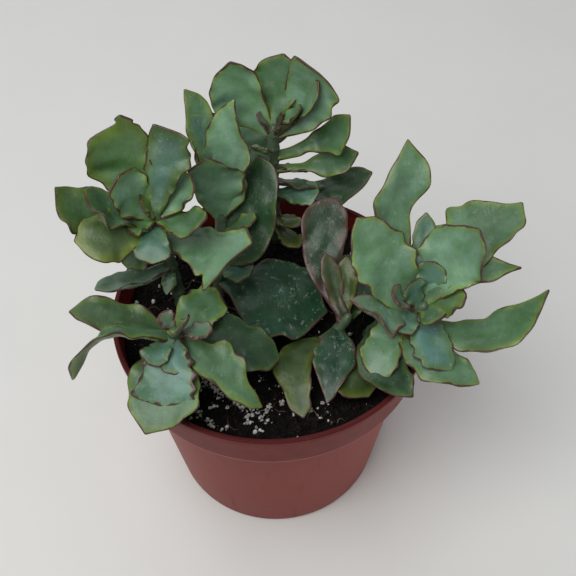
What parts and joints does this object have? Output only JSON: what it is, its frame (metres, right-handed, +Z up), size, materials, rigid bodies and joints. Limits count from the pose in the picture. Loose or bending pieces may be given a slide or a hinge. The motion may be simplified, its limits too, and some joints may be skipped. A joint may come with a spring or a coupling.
{
  "type": "potted crassula",
  "caption": "Potted crassula: a thin round plastic nursery pot filled with dark soil, and leafy succulent stems with thick, wavy-edged, dark-margined leaves spreading over the rim.",
  "frame": {"origin": "centre of the pot's flat underside, on the surface it stands on", "axes": "+Z up along the pot's axis; the plant is seen from -Y, with +X to the viewer's right"},
  "size_m": [0.1688, 0.1268, 0.1682],
  "materials": {
    "terracotta_plastic": "satin red-brown polypropylene, thin walled, with a slightly darker lip and inner wall",
    "potting_soil": "near-black crumbly potting mix with pale perlite grains",
    "crassula_leaf": "fleshy blue-green leaf with a waxy bloom and thin dark maroon margins"
  },
  "bodies": {
    "root": {"pot": "terracotta_plastic", "soil": "potting_soil", "stem_back": "crassula_leaf", "stem_left": "crassula_leaf", "stem_front": "crassula_leaf", "stem_right": "crassula_leaf", "stem_tall": "crassula_leaf", "stem_low": "crassula_leaf"}
  },
  "joints": []
}
